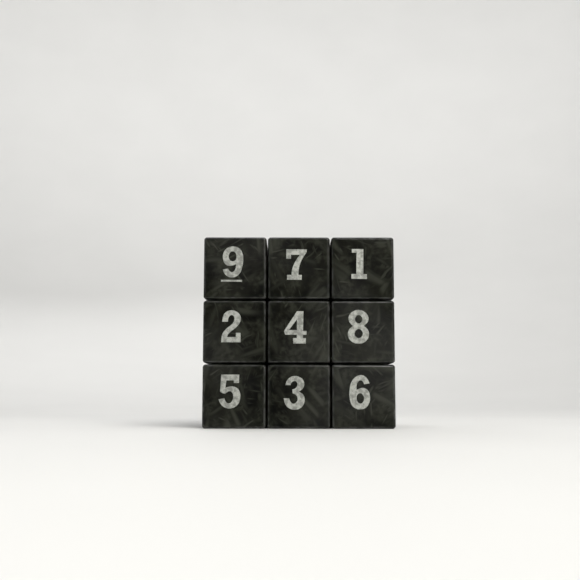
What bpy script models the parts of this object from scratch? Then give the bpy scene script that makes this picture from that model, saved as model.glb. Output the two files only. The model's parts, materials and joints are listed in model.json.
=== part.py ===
"""Sudoku cube: a three by three by three twisting puzzle with a numeral on every tile.

A core spider carries six sprung screws. Each screw holds a centre, and the centres hold
the twelve edges and the eight corners by feet that run inside a hollow ball.
Units are metres and +Z is up. The front face looks along -Y and the cube stands on z = 0.
"""
import math

import bmesh
import bpy
from mathutils import Vector

MM = 0.001

# Outside of the cube
CUBE_EDGE = 57.0 * MM
SEAM = 0.4 * MM
EDGE_ROUND = 0.9 * MM
WALL = 1.8 * MM

# Clearances
RUNNING_GAP = 0.3 * MM
FIT_GAP = 0.3 * MM

# Feet that hold the edges and corners
FOOT_THICKNESS = 4.4 * MM
CORNER_FLOOR = 2.0 * MM
STALK_MARGIN = 0.6 * MM
STALK_REACH = 2.0 * MM

# Centre: cap, body and stem
CAP_THICKNESS = 2.4 * MM
PLUG_DEPTH = 2.0 * MM
PLUG_WALL = 1.2 * MM
CENTRE_FLOOR = 2.0 * MM
STEM_WALL = 1.7 * MM
STEM_WEB = 2.0 * MM

# Core spider
ARM_RADIUS = 4.0 * MM
ARM_SETBACK = 3.5 * MM
HUB_COVER = 1.0 * MM
CORE_SOLID = 4.6 * MM

# Screw, washer and spring
SCREW_RADIUS = 1.1 * MM
SCREW_CHAMFER = 0.4 * MM
HEAD_HEIGHT = 1.8 * MM
HEAD_TAPER = 0.5 * MM
RECESS_DEPTH = 0.9 * MM
RECESS_WIDTH = 0.7 * MM
RECESS_MARGIN = 0.7 * MM
WASHER_RIM = 0.3 * MM
WASHER_THICKNESS = 0.5 * MM
WIRE_RADIUS = 0.3 * MM
SPRING_RADIUS = 2.5 * MM
SPRING_LENGTH = 5.4 * MM
SPRING_TURNS = 4
POCKET_GAP = 0.4 * MM

# Facets of the round shapes
ROUND_STEPS = 2
ROD_SIDES = 16
BALL_SIDES = 24
COIL_POINTS = 8

# Places worked out from the sizes, measured from the middle of the core
LAYERS = 3
HALF_EDGE = CUBE_EDGE / 2
HALF_PITCH = CUBE_EDGE / LAYERS / 2
INNER_FACE = HALF_PITCH + SEAM / 2
SIDE_FACE = HALF_PITCH - SEAM / 2
CAP_UNDERSIDE = HALF_EDGE - CAP_THICKNESS
BODY_TOP = CAP_UNDERSIDE - FIT_GAP

# The running ball lies midway between a corner's inner point and a centre's floor
RUNNING_BALL = (math.sqrt(3) * INNER_FACE + CAP_UNDERSIDE - CENTRE_FLOOR) / 2
BALL_HOLLOW = RUNNING_BALL + RUNNING_GAP
FOOT_OUTSIDE = RUNNING_BALL - RUNNING_GAP
FOOT_INSIDE = FOOT_OUTSIDE - FOOT_THICKNESS
CUP_FLOOR = BALL_HOLLOW + CENTRE_FLOOR

# The spring pocket sets the stem, and the stem sets how far the feet reach under a centre
POCKET_RADIUS = SPRING_RADIUS + WIRE_RADIUS + POCKET_GAP
STEM_RADIUS = POCKET_RADIUS + STEM_WALL
FOOT_SIDE = STEM_RADIUS
FOOT_INNER_FACE = STEM_RADIUS + SEAM
BORE_RADIUS = SCREW_RADIUS + FIT_GAP

# Stack along each screw, outwards
ARM_END = FOOT_INSIDE - ARM_SETBACK
STEM_BOTTOM = ARM_END + FIT_GAP
SPRING_SEAT = STEM_BOTTOM + STEM_WEB
SPRING_LOW = SPRING_SEAT + FIT_GAP
WASHER_LOW = SPRING_LOW + SPRING_LENGTH + FIT_GAP
HEAD_LOW = WASHER_LOW + WASHER_THICKNESS + FIT_GAP
HEAD_TOP = HEAD_LOW + HEAD_HEIGHT
WASHER_RADIUS = POCKET_RADIUS - FIT_GAP
HEAD_RADIUS = WASHER_RADIUS - WASHER_RIM
HUB_RADIUS = ARM_RADIUS * math.sqrt(2) + HUB_COVER

# Corner foot's stalk, along the corner's diagonal
DIAGONAL = Vector((1, 1, 1))
STALK_RADIUS = (FOOT_OUTSIDE / math.sqrt(3) - INNER_FACE) * math.sqrt(1.5) - STALK_MARGIN
STALK_START = FOOT_INSIDE + FOOT_THICKNESS / 2
STALK_END = BALL_HOLLOW + CORNER_FLOOR + STALK_REACH

# Turns about X, Y and then Z, in degrees, that take a first piece to each of its places
CENTRE_PLACES = {
    "up": (0, 0, 0),
    "down": (180, 0, 0),
    "front": (90, 0, 0),
    "right": (90, 0, 90),
    "back": (90, 0, 180),
    "left": (90, 0, 270),
}
EDGE_PLACES = {
    "up_back": (0, 0, 0),
    "up_left": (0, 0, 90),
    "up_front": (0, 0, 180),
    "up_right": (0, 0, 270),
    "down_front": (180, 0, 0),
    "down_right": (180, 0, 90),
    "down_back": (180, 0, 180),
    "down_left": (180, 0, 270),
    "back_right": (0, 90, 0),
    "back_left": (0, 90, 90),
    "front_left": (0, 90, 180),
    "front_right": (0, 90, 270),
}
CORNER_PLACES = {
    "up_back_right": (0, 0, 0),
    "up_back_left": (0, 0, 90),
    "up_front_left": (0, 0, 180),
    "up_front_right": (0, 0, 270),
    "down_front_right": (180, 0, 0),
    "down_back_right": (180, 0, 90),
    "down_back_left": (180, 0, 180),
    "down_front_left": (180, 0, 270),
}

# Finishes: colour, roughness and metallic value
FINISHES = {
    "charcoal_plastic": ((0.027, 0.027, 0.025), 0.42, 0.0),
    "black_plastic": ((0.012, 0.012, 0.013), 0.5, 0.0),
    "zinc_plate": ((0.62, 0.62, 0.6), 0.35, 1.0),
    "spring_steel": ((0.45, 0.45, 0.46), 0.3, 1.0),
}
PARTS = "sudoku_cube"
CUTTERS = "cutters"


def turned_by(turns):
    """Degrees about X, Y and Z as radians."""
    return [math.radians(turn) for turn in turns]


def working_shape(name, bm):
    """An object that only cuts or joins, made from a bmesh."""
    mesh = bpy.data.meshes.new(name)
    bm.to_mesh(mesh)
    bm.free()
    shape = bpy.data.objects.new(name, mesh)
    shape.hide_render = True
    shape.display_type = "WIRE"
    bpy.data.collections[CUTTERS].objects.link(shape)
    return shape


def block(name, low, high):
    """A box between two corners."""
    low = Vector(low)
    high = Vector(high)
    bm = bmesh.new()
    bmesh.ops.create_cube(bm, size=1.0)
    bmesh.ops.scale(bm, vec=high - low, verts=bm.verts)
    bmesh.ops.translate(bm, vec=(low + high) / 2, verts=bm.verts)
    return working_shape(name, bm)


def cube_block(name, low, high):
    """A box that spans the same range along each axis."""
    return block(name, (low, low, low), (high, high, high))


def ball(name, radius, sides=BALL_SIDES):
    """A ball about the middle of the core."""
    bm = bmesh.new()
    bmesh.ops.create_uvsphere(bm, u_segments=sides, v_segments=sides // 2, radius=radius)
    return working_shape(name, bm)


def rod(name, radius, low, high, top_radius=None):
    """A round bar along Z, which may taper."""
    bm = bmesh.new()
    bmesh.ops.create_cone(
        bm,
        cap_ends=True,
        segments=ROD_SIDES,
        radius1=radius,
        radius2=radius if top_radius is None else top_radius,
        depth=high - low,
    )
    bmesh.ops.translate(bm, vec=(0, 0, (low + high) / 2), verts=bm.verts)
    return working_shape(name, bm)


def along_diagonal(shape):
    """Turn a shape that lies along Z onto the corner's diagonal."""
    shape.rotation_mode = "QUATERNION"
    shape.rotation_quaternion = Vector((0, 0, 1)).rotation_difference(DIAGONAL)
    return shape


def rounded(shape, radius, steps=ROUND_STEPS):
    """Round every edge of a shape."""
    bevel = shape.modifiers.new("rounded edges", "BEVEL")
    bevel.width = radius
    bevel.segments = steps
    return shape


def combine(shape, operation, tools, solver="EXACT"):
    """Add one Boolean for each tool."""
    for tool in tools:
        boolean = shape.modifiers.new(f"{operation} {tool.name}", "BOOLEAN")
        boolean.operation = operation
        boolean.solver = solver
        boolean.object = tool
    return shape


def cut(shape, *tools):
    """Take the tools away from a shape."""
    return combine(shape, "DIFFERENCE", tools)


def join(shape, *tools):
    """Fuse the tools to a shape."""
    return combine(shape, "UNION", tools)


def keep_inside(shape, tool):
    """Keep what a shape shares with a tool."""
    return combine(shape, "INTERSECT", [tool])


def applied_mesh(shape, name, finish):
    """A shape's mesh with its modifiers applied, in one finish."""
    depsgraph = bpy.context.evaluated_depsgraph_get()
    mesh = bpy.data.meshes.new_from_object(shape.evaluated_get(depsgraph))
    mesh.name = name
    mesh.materials.clear()
    mesh.materials.append(bpy.data.materials[finish])
    mesh.shade_smooth()
    mesh.set_sharp_from_angle(angle=math.radians(35))
    return mesh


def make_finishes():
    """One Principled material for each finish."""
    for name, (colour, roughness, metallic) in FINISHES.items():
        material = bpy.data.materials.new(name)
        material.use_nodes = True
        shader = material.node_tree.nodes["Principled BSDF"]
        shader.inputs["Base Color"].default_value = (*colour, 1.0)
        shader.inputs["Roughness"].default_value = roughness
        shader.inputs["Metallic"].default_value = metallic
        material.diffuse_color = (*colour, 1.0)


def core_mesh():
    """Hub with six arms, bored for the screws."""
    core = ball("core hub", HUB_RADIUS, ROD_SIDES)
    for face in ("up", "front", "right"):
        arms = rod(f"core arms {face}", ARM_RADIUS, -ARM_END, ARM_END)
        arms.rotation_euler = turned_by(CENTRE_PLACES[face])
        join(core, arms)
    for face, turns in CENTRE_PLACES.items():
        hole = rod(f"core bore {face}", BORE_RADIUS, CORE_SOLID, ARM_END + WALL)
        hole.rotation_euler = turned_by(turns)
        cut(core, hole)
    return applied_mesh(core, "core_spider", "black_plastic")


def screw_mesh():
    """Cross-head screw from its head down to the core."""
    screw = rod("screw head", HEAD_RADIUS, HEAD_LOW, HEAD_TOP, HEAD_RADIUS - HEAD_TAPER)
    shank_top = HEAD_LOW + HEAD_HEIGHT / 3
    shank = rod("screw shank", SCREW_RADIUS, CORE_SOLID + FIT_GAP, shank_top)
    join(screw, rounded(shank, SCREW_CHAMFER, 1))
    reach = HEAD_RADIUS - HEAD_TAPER - RECESS_MARGIN
    half_width = RECESS_WIDTH / 2
    low = HEAD_TOP - RECESS_DEPTH
    high = HEAD_TOP + RECESS_DEPTH
    slot_x = block("screw slot across", (-reach, -half_width, low), (reach, half_width, high))
    slot_y = block("screw slot along", (-half_width, -reach, low), (half_width, reach, high))
    cut(screw, slot_x, slot_y)
    return applied_mesh(screw, "screw", "zinc_plate")


def washer_mesh():
    """Flat ring between the screw's head and the spring."""
    top = WASHER_LOW + WASHER_THICKNESS
    washer = rod("washer disc", WASHER_RADIUS, WASHER_LOW, top)
    cut(washer, rod("washer hole", BORE_RADIUS, WASHER_LOW - FIT_GAP, top + FIT_GAP))
    return applied_mesh(washer, "washer", "zinc_plate")


def coil_points():
    """Points along the spring's wire, from the bottom up."""
    rise = SPRING_LENGTH - 2 * WIRE_RADIUS
    count = SPRING_TURNS * COIL_POINTS
    points = []
    for step in range(count + 1):
        angle = 2 * math.pi * step / COIL_POINTS
        height = SPRING_LOW + WIRE_RADIUS + rise * step / count
        points.append(Vector((SPRING_RADIUS * math.cos(angle), SPRING_RADIUS * math.sin(angle), height)))
    return points


def least_coil_gap(points):
    """Smallest space between two coils of the wire."""
    half_turn = COIL_POINTS // 2
    gaps = []
    for index, point in enumerate(points):
        for other in points[index + half_turn:]:
            gaps.append((other - point).length - 2 * WIRE_RADIUS)
    return min(gaps)


def spring_mesh():
    """Coil spring round the screw, as one unbroken wire."""
    points = coil_points()
    curve = bpy.data.curves.new("spring wire", "CURVE")
    curve.dimensions = "3D"
    curve.bevel_depth = WIRE_RADIUS
    curve.bevel_resolution = 1
    curve.use_fill_caps = True
    spline = curve.splines.new("POLY")
    spline.points.add(len(points) - 1)
    for place, point in zip(spline.points, points):
        place.co = (*point, 1.0)
    wire = bpy.data.objects.new("spring wire", curve)
    bpy.data.collections[CUTTERS].objects.link(wire)
    mesh = applied_mesh(wire, "spring", "spring_steel")
    bpy.data.objects.remove(wire)
    bm = bmesh.new()
    bm.from_mesh(mesh)
    bmesh.ops.remove_doubles(bm, verts=bm.verts, dist=FIT_GAP / 100)
    bmesh.ops.recalc_face_normals(bm, faces=bm.faces)
    bm.to_mesh(mesh)
    bm.free()
    print(f"spring: least gap between coils {least_coil_gap(points) / MM:.2f} mm")
    return mesh


def centre_body_mesh(ball_hollow):
    """Square flange over the feet, with a stem and a pocket for the spring."""
    body = block("centre flange", (-SIDE_FACE, -SIDE_FACE, INNER_FACE), (SIDE_FACE, SIDE_FACE, BODY_TOP))
    rounded(body, EDGE_ROUND)
    cut(body, ball_hollow)
    join(body, rod("centre stem", STEM_RADIUS, STEM_BOTTOM, CUP_FLOOR - CENTRE_FLOOR / 2))
    inside = SIDE_FACE - WALL
    above = BODY_TOP + WALL
    cup = block("centre cup", (-inside, -inside, CUP_FLOOR), (inside, inside, above))
    pocket = rod("centre spring pocket", POCKET_RADIUS, SPRING_SEAT, above)
    bore = rod("centre bore", BORE_RADIUS, STEM_BOTTOM - WALL, above)
    cut(body, cup, pocket, bore)
    return applied_mesh(body, "centre_body", "black_plastic")


def centre_cap_mesh():
    """Tile that closes a centre, with a plug that fits the cup."""
    cap = block("cap tile", (-SIDE_FACE, -SIDE_FACE, CAP_UNDERSIDE), (SIDE_FACE, SIDE_FACE, HALF_EDGE))
    rounded(cap, EDGE_ROUND)
    outside = SIDE_FACE - WALL - FIT_GAP
    inside = outside - PLUG_WALL
    low = CAP_UNDERSIDE - PLUG_DEPTH
    high = CAP_UNDERSIDE + CAP_THICKNESS / 2
    plug = block("cap plug", (-outside, -outside, low), (outside, outside, high))
    cut(plug, block("cap plug space", (-inside, -inside, low - WALL), (inside, inside, high + WALL)))
    join(cap, plug)
    return applied_mesh(cap, "centre_cap", "charcoal_plastic")


def foot_mesh_shape(name, low, high, foot_ball, inner_ball):
    """Slice of the foot's ball shell inside a box."""
    foot = block(name, low, high)
    keep_inside(foot, foot_ball)
    cut(foot, inner_ball)
    return foot


def edge_mesh(ball_hollow, foot_ball, inner_ball):
    """Hollow edge cubie with its neck and foot, at the top of the back."""
    edge = block("edge cubie", (-SIDE_FACE, INNER_FACE, INNER_FACE), (SIDE_FACE, HALF_EDGE, HALF_EDGE))
    rounded(edge, EDGE_ROUND)
    inside = SIDE_FACE - WALL
    floor = BALL_HOLLOW + WALL
    roof = HALF_EDGE - WALL
    mouth = INNER_FACE - WALL
    back_pocket = block("edge pocket back", (-inside, floor, mouth), (inside, roof, roof))
    top_pocket = block("edge pocket top", (-inside, mouth, floor), (inside, roof, roof))
    cut(edge, ball_hollow, back_pocket, top_pocket)
    foot = foot_mesh_shape(
        "edge foot",
        (-FOOT_SIDE, FOOT_INNER_FACE, FOOT_INNER_FACE),
        (FOOT_SIDE, BALL_HOLLOW, BALL_HOLLOW),
        foot_ball,
        inner_ball,
    )
    neck_side = FOOT_SIDE - FIT_GAP
    neck_face = INNER_FACE + FIT_GAP
    neck = block("edge neck", (-neck_side, neck_face, neck_face), (neck_side, BALL_HOLLOW, BALL_HOLLOW))
    cut(neck, inner_ball)
    join(edge, neck, foot)
    return applied_mesh(edge, "edge", "charcoal_plastic")


def corner_shell_mesh(ball_hollow):
    """Hollow corner cubie with a hole for its foot, at the top of the back on the right."""
    shell = rounded(cube_block("corner cubie", INNER_FACE, HALF_EDGE), EDGE_ROUND)
    cavity = cube_block("corner cavity", INNER_FACE + WALL, HALF_EDGE - WALL)
    cut(cavity, ball("corner floor ball", BALL_HOLLOW + CORNER_FLOOR))
    hole = along_diagonal(rod("corner stalk hole", STALK_RADIUS + FIT_GAP, STALK_START, STALK_END))
    # The hole leaves the cavity at a slant through three walls, which needs the manifold solver
    combine(cavity, "UNION", [hole], "MANIFOLD")
    combine(shell, "DIFFERENCE", [ball_hollow, cavity], "MANIFOLD")
    return applied_mesh(shell, "corner", "charcoal_plastic")


def corner_foot_mesh(foot_ball, inner_ball):
    """Foot of a corner with the stalk that plugs into the shell."""
    foot = foot_mesh_shape(
        "corner foot",
        (FOOT_INNER_FACE, FOOT_INNER_FACE, FOOT_INNER_FACE),
        (BALL_HOLLOW, BALL_HOLLOW, BALL_HOLLOW),
        foot_ball,
        inner_ball,
    )
    stalk = along_diagonal(rod("corner stalk", STALK_RADIUS, STALK_START, STALK_END - FIT_GAP))
    join(foot, stalk)
    return applied_mesh(foot, "corner_foot", "black_plastic")


def place(name, mesh, turns, core_centre):
    """Put one piece in its place, with its origin where the turning axes cross."""
    piece = bpy.data.objects.new(name, mesh)
    piece.parent = core_centre
    piece.rotation_euler = turned_by(turns)
    bpy.data.collections[PARTS].objects.link(piece)


def place_all(kind, mesh, places, core_centre):
    """Put a copy of one piece in each of its places."""
    for where, turns in places.items():
        place(f"{kind}_{where}", mesh, turns, core_centre)


def main():
    """Build the cube."""
    for old in list(bpy.data.objects):
        bpy.data.objects.remove(old, do_unlink=True)
    for name in (PARTS, CUTTERS):
        collection = bpy.data.collections.new(name)
        bpy.context.scene.collection.children.link(collection)
    make_finishes()

    core_centre = bpy.data.objects.new("core_centre", None)
    core_centre.location = (0, 0, HALF_EDGE)
    core_centre.empty_display_size = HALF_PITCH
    bpy.data.collections[PARTS].objects.link(core_centre)

    ball_hollow = ball("ball hollow", BALL_HOLLOW)
    foot_ball = ball("foot outside ball", FOOT_OUTSIDE)
    inner_ball = ball("foot inside ball", FOOT_INSIDE)

    place("core_spider", core_mesh(), (0, 0, 0), core_centre)
    place_all("screw", screw_mesh(), CENTRE_PLACES, core_centre)
    place_all("washer", washer_mesh(), CENTRE_PLACES, core_centre)
    place_all("spring", spring_mesh(), CENTRE_PLACES, core_centre)
    place_all("centre_body", centre_body_mesh(ball_hollow), CENTRE_PLACES, core_centre)
    place_all("centre_cap", centre_cap_mesh(), CENTRE_PLACES, core_centre)
    place_all("edge", edge_mesh(ball_hollow, foot_ball, inner_ball), EDGE_PLACES, core_centre)
    place_all("corner", corner_shell_mesh(ball_hollow), CORNER_PLACES, core_centre)
    place_all("corner_foot", corner_foot_mesh(foot_ball, inner_ball), CORNER_PLACES, core_centre)


main()
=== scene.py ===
"""Looks of the sudoku cube: smooth cubies, foil numerals, coil springs, finishes and a studio stage.

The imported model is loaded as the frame, and every piece made here rides on one of its bodies.
Lengths are metres in the frame's own axes. +Z is up and the front face looks along -Y.
"""
import json
import math

import bmesh
import bpy
from mathutils import Euler, Matrix, Vector

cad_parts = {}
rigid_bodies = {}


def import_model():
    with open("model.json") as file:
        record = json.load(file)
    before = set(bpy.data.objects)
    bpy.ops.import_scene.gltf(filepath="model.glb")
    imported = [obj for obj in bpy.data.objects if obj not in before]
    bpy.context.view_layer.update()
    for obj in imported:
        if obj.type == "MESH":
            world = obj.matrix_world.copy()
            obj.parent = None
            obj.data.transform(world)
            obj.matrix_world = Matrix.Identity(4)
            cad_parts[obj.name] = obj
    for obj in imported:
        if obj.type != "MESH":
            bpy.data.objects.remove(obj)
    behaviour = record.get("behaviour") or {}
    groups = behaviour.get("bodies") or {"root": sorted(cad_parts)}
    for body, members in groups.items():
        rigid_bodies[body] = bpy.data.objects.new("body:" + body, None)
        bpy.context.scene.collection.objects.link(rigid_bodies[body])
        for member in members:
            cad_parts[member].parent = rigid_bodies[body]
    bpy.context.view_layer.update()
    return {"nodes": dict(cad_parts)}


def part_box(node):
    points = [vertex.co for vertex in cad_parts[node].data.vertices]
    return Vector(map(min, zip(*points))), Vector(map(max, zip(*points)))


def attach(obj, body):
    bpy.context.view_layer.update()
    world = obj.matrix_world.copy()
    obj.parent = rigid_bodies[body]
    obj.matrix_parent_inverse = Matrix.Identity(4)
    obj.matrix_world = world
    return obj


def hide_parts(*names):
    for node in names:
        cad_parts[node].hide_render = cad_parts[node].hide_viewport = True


bl_info = {
    "name": "Sudoku cube",
    "version": (1, 0, 0),
    "blender": (4, 5, 0),
    "location": "View3D > Sidebar > Sudoku cube",
    "description": "Cubies, numerals, springs, finishes and stage of the sudoku cube",
    "category": "Object",
}

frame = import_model()

MM = 0.001
CUBE_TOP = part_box("centre_cap_up")[1]
CUBE_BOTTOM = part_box("centre_cap_down")[0]
CORE = (CUBE_TOP + CUBE_BOTTOM) / 2
CUBE_EDGE = CUBE_TOP.z - CUBE_BOTTOM.z
LAYERS = 3
PITCH = CUBE_EDGE / LAYERS

# Turns about X, Y and then Z, in degrees, that take a first piece to each of its places
CENTRE_PLACES = {
    "up": (0, 0, 0),
    "down": (180, 0, 0),
    "front": (90, 0, 0),
    "right": (90, 0, 90),
    "back": (90, 0, 180),
    "left": (90, 0, 270),
}
EDGE_PLACES = {
    "up_back": (0, 0, 0),
    "up_left": (0, 0, 90),
    "up_front": (0, 0, 180),
    "up_right": (0, 0, 270),
    "down_front": (180, 0, 0),
    "down_right": (180, 0, 90),
    "down_back": (180, 0, 180),
    "down_left": (180, 0, 270),
    "back_right": (0, 90, 0),
    "back_left": (0, 90, 90),
    "front_left": (0, 90, 180),
    "front_right": (0, 90, 270),
}
CORNER_PLACES = {
    "up_back_right": (0, 0, 0),
    "up_back_left": (0, 0, 90),
    "up_front_left": (0, 0, 180),
    "up_front_right": (0, 0, 270),
    "down_front_right": (180, 0, 0),
    "down_back_right": (180, 0, 90),
    "down_back_left": (180, 0, 180),
    "down_front_left": (180, 0, 270),
}

# Each face as it is looked at: its right, its up and its outward direction
FACE_AXES = {
    "front": ((1, 0, 0), (0, 0, 1), (0, -1, 0)),
    "right": ((0, 1, 0), (0, 0, 1), (1, 0, 0)),
    "back": ((-1, 0, 0), (0, 0, 1), (0, 1, 0)),
    "left": ((0, -1, 0), (0, 0, 1), (-1, 0, 0)),
    "up": ((1, 0, 0), (0, 1, 0), (0, 0, 1)),
    "down": ((1, 0, 0), (0, -1, 0), (0, 0, -1)),
}

# Rows of numerals on each face, from the top
FACE_NUMERALS = {
    "front": ("971", "248", "536"),
    "right": ("438", "615", "927"),
    "back": ("165", "729", "384"),
    "left": ("852", "394", "617"),
    "up": ("274", "581", "963"),
    "down": ("719", "463", "825"),
}

# Outlines of the numerals in millimetres from the middle of a tile. A knot is smooth unless it is SHARP.
SHARP = True
NUMERAL_OUTLINES = {
    "1": [
        [(-3.2, 5.9, SHARP), (0.4, 5.9, SHARP), (0.35, -1.7, SHARP), (1.4, -1.7, SHARP), (1.4, -3.25, SHARP),
         (-3.4, -3.25, SHARP), (-3.35, -1.65, SHARP), (-1.9, -1.65, SHARP), (-1.8, 4.65, SHARP),
         (-3.2, 4.65, SHARP)],
    ],
    "2": [
        [(-3.85, 2.85, SHARP), (-3.7, 4.1), (-3.0, 5.6), (-1.1, 6.4), (0.9, 5.7), (1.7, 4.6), (1.8, 3.5),
         (1.4, 2.4), (0.3, 1.1), (-1.5, -0.35), (-2.0, -1.0), (-2.2, -1.55, SHARP), (0.25, -1.55, SHARP),
         (0.25, -0.3, SHARP), (1.75, -0.3, SHARP), (1.8, -3.25, SHARP), (-4.1, -3.25, SHARP), (-4.0, -1.85),
         (-3.7, -0.6), (-2.55, 0.9), (-0.8, 2.4), (-0.25, 3.5), (-0.4, 4.5), (-1.0, 4.85), (-1.65, 4.4),
         (-1.95, 3.6), (-2.0, 2.85, SHARP)],
    ],
    "3": [
        [(-4.05, 3.15, SHARP), (-3.6, 4.5), (-2.6, 5.55), (-1.35, 5.95), (0.3, 5.6), (1.4, 4.6), (1.65, 3.5),
         (1.3, 2.3), (0.15, 1.3, SHARP), (1.2, 0.6), (1.75, -0.7), (1.55, -2.2), (0.5, -3.55), (-1.1, -4.05),
         (-2.8, -3.65), (-4.0, -2.5), (-4.55, -0.6, SHARP), (-2.8, -0.6, SHARP), (-2.4, -1.6), (-1.7, -2.15),
         (-0.9, -1.85), (-0.45, -0.6), (-0.95, 0.3), (-1.9, 0.8, SHARP), (-2.0, 2.0, SHARP), (-1.0, 2.4),
         (-0.5, 3.4), (-0.75, 4.15), (-1.4, 4.35), (-2.1, 3.9), (-2.45, 3.15, SHARP)],
    ],
    "4": [
        [(-0.6, 6.15, SHARP), (1.45, 6.15, SHARP), (1.3, 0.3, SHARP), (2.4, 0.3, SHARP), (2.35, -1.0, SHARP),
         (1.3, -1.0, SHARP), (1.3, -1.85, SHARP), (2.15, -1.85, SHARP), (2.1, -3.6, SHARP),
         (-1.75, -3.6, SHARP), (-1.8, -1.85, SHARP), (-0.7, -1.85, SHARP), (-0.7, -1.0, SHARP),
         (-4.1, -1.0, SHARP), (-4.45, 0.05, SHARP), (-4.3, 0.45, SHARP)],
        [(-2.8, 0.55, SHARP), (-0.65, 0.55, SHARP), (-0.65, 3.45, SHARP)],
    ],
    "5": [
        [(-3.95, 6.35, SHARP), (1.5, 6.35, SHARP), (1.4, 3.75, SHARP), (-0.25, 3.75, SHARP),
         (-0.25, 4.5, SHARP), (-2.3, 4.5, SHARP), (-2.55, 2.5, SHARP), (-0.8, 2.9), (0.8, 2.4), (1.65, 1.2),
         (1.8, -0.6), (1.1, -2.5), (-1.2, -3.7), (-3.3, -3.1), (-4.4, -1.7), (-4.7, -0.95, SHARP),
         (-2.85, -0.55, SHARP), (-2.3, -1.75), (-1.5, -2.05), (-0.7, -1.4), (-0.4, 0.1), (-0.7, 0.95),
         (-1.3, 1.35), (-2.65, 0.65, SHARP), (-3.0, 0.65), (-4.25, 1.2, SHARP)],
    ],
    "6": [
        [(1.9, 3.7, SHARP), (1.3, 5.0), (0.4, 5.9), (-0.55, 6.25), (-2.2, 5.75), (-3.5, 4.3), (-4.15, 1.8),
         (-4.1, -0.8), (-3.3, -2.9), (-2.1, -3.75), (-0.85, -3.9), (0.7, -3.4), (1.75, -1.95), (2.0, -0.2),
         (1.55, 1.5), (0.6, 2.3), (-0.3, 2.5), (-1.95, 1.95, SHARP), (-1.85, 3.5), (-1.5, 4.15),
         (-0.9, 4.55), (-0.3, 4.35), (0.2, 3.4, SHARP)],
        [(-1.0, 0.8), (-1.7, 0.4), (-1.95, -0.6), (-1.7, -1.55), (-0.9, -2.1), (-0.2, -1.65), (0.1, -0.65),
         (-0.25, 0.35)],
    ],
    "7": [
        [(-3.85, 5.8, SHARP), (2.45, 5.8, SHARP), (2.4, 4.85, SHARP), (1.1, 2.85), (0.3, 0.9), (0.0, -0.8),
         (-0.05, -1.95, SHARP), (0.95, -1.95, SHARP), (0.9, -3.55, SHARP), (-3.6, -3.55, SHARP),
         (-3.6, -1.95, SHARP), (-2.3, -1.95, SHARP), (-2.1, -0.4), (-1.2, 1.95), (0.15, 4.0, SHARP),
         (-2.3, 4.0, SHARP), (-2.3, 2.8, SHARP), (-3.85, 2.8, SHARP)],
    ],
    "8": [
        [(-1.3, 6.55), (0.4, 6.05), (1.5, 4.9), (1.65, 3.2), (0.4, 1.7, SHARP), (1.45, 0.7), (1.85, -0.8),
         (1.0, -2.75), (-1.3, -3.6), (-3.65, -2.75), (-4.55, -0.8), (-4.1, 0.7), (-3.1, 1.7, SHARP),
         (-4.2, 3.2), (-4.1, 4.9), (-3.0, 6.05)],
        [(-1.25, 4.9), (-1.95, 4.5), (-2.25, 3.75), (-1.95, 2.9), (-1.25, 2.5), (-0.5, 2.9), (-0.2, 3.75),
         (-0.5, 4.5)],
        [(-1.25, 0.75), (-2.05, 0.3), (-2.4, -0.55), (-2.1, -1.4), (-1.25, -1.85), (-0.45, -1.4),
         (-0.1, -0.55), (-0.45, 0.3)],
    ],
    "9": [
        [(-0.75, 6.65), (1.1, 6.1), (2.15, 4.5), (2.4, 2.5), (2.1, 0.3), (1.3, -1.7), (0.3, -2.55),
         (-1.05, -2.9), (-2.4, -2.5), (-3.4, -1.5), (-3.8, -0.35, SHARP), (-2.15, -0.05, SHARP),
         (-1.7, -0.75), (-1.0, -1.15), (-0.3, -0.65), (0.2, 1.1, SHARP), (-0.8, 0.75), (-1.9, 0.65),
         (-3.0, 1.1), (-3.7, 2.5), (-3.75, 4.3), (-3.0, 5.75), (-2.1, 6.35)],
        [(-0.85, 5.0), (-1.6, 4.6), (-1.95, 3.6), (-1.6, 2.5), (-0.85, 2.15), (-0.05, 2.5), (0.2, 3.5),
         (-0.1, 4.6)],
        [(-4.3, -3.45, SHARP), (2.1, -3.45, SHARP), (2.1, -4.15, SHARP), (-4.3, -4.15, SHARP)],
    ],
}

# Carried-over parts of the mechanism and their finishes
CAD_FINISHES = {
    "core_spider": "inner_plastic",
    "centre_body": "inner_plastic",
    "corner_foot": "inner_plastic",
    "screw": "screw_steel",
    "washer": "screw_steel",
}

# Softboxes: where they hang, what they point at, how wide and high they are, their watts and their colour
SOFTBOXES = {
    "key_softbox": ((0.47, -0.7, 0.52), CORE, (0.9, 0.8), 2.0, (1.0, 0.99, 0.95)),
    "front_softbox": ((0.34, -0.86, 0.41), CORE, (0.46, 0.42), 4.4, (1.0, 0.98, 0.89)),
    "strip_softbox": ((0.3, -0.58, 0.75), CORE, (0.5, 0.16), 3.0, (1.0, 1.0, 1.0)),
    "fill_softbox": ((-0.75, -0.55, 0.35), CORE, (0.6, 0.6), 0.3, (0.9, 0.95, 1.0)),
    "top_softbox": ((0.15, 0.0, 0.95), CORE, (0.9, 0.9), 4.2, (1.0, 1.0, 1.0)),
    "back_softbox": ((-0.3, 0.8, 0.6), CORE, (0.8, 0.6), 2.0, (1.0, 1.0, 1.0)),
    "backdrop_softbox": ((0.0, 0.9, 1.1), (0.0, 1.9, 0.5), (1.4, 0.4), 7.0, (1.0, 1.0, 1.0)),
}


def length_property(name, description, default):
    """A length that a user may change."""
    return bpy.props.FloatProperty(name=name, description=description, default=default, unit="LENGTH")


def angle_property(name, description, degrees):
    """An angle that a user may change."""
    return bpy.props.FloatProperty(
        name=name, description=description, default=math.radians(degrees), subtype="ANGLE"
    )


def number_property(name, description, default):
    """A plain number that a user may change."""
    return bpy.props.FloatProperty(name=name, description=description, default=default, min=0.0)


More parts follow.
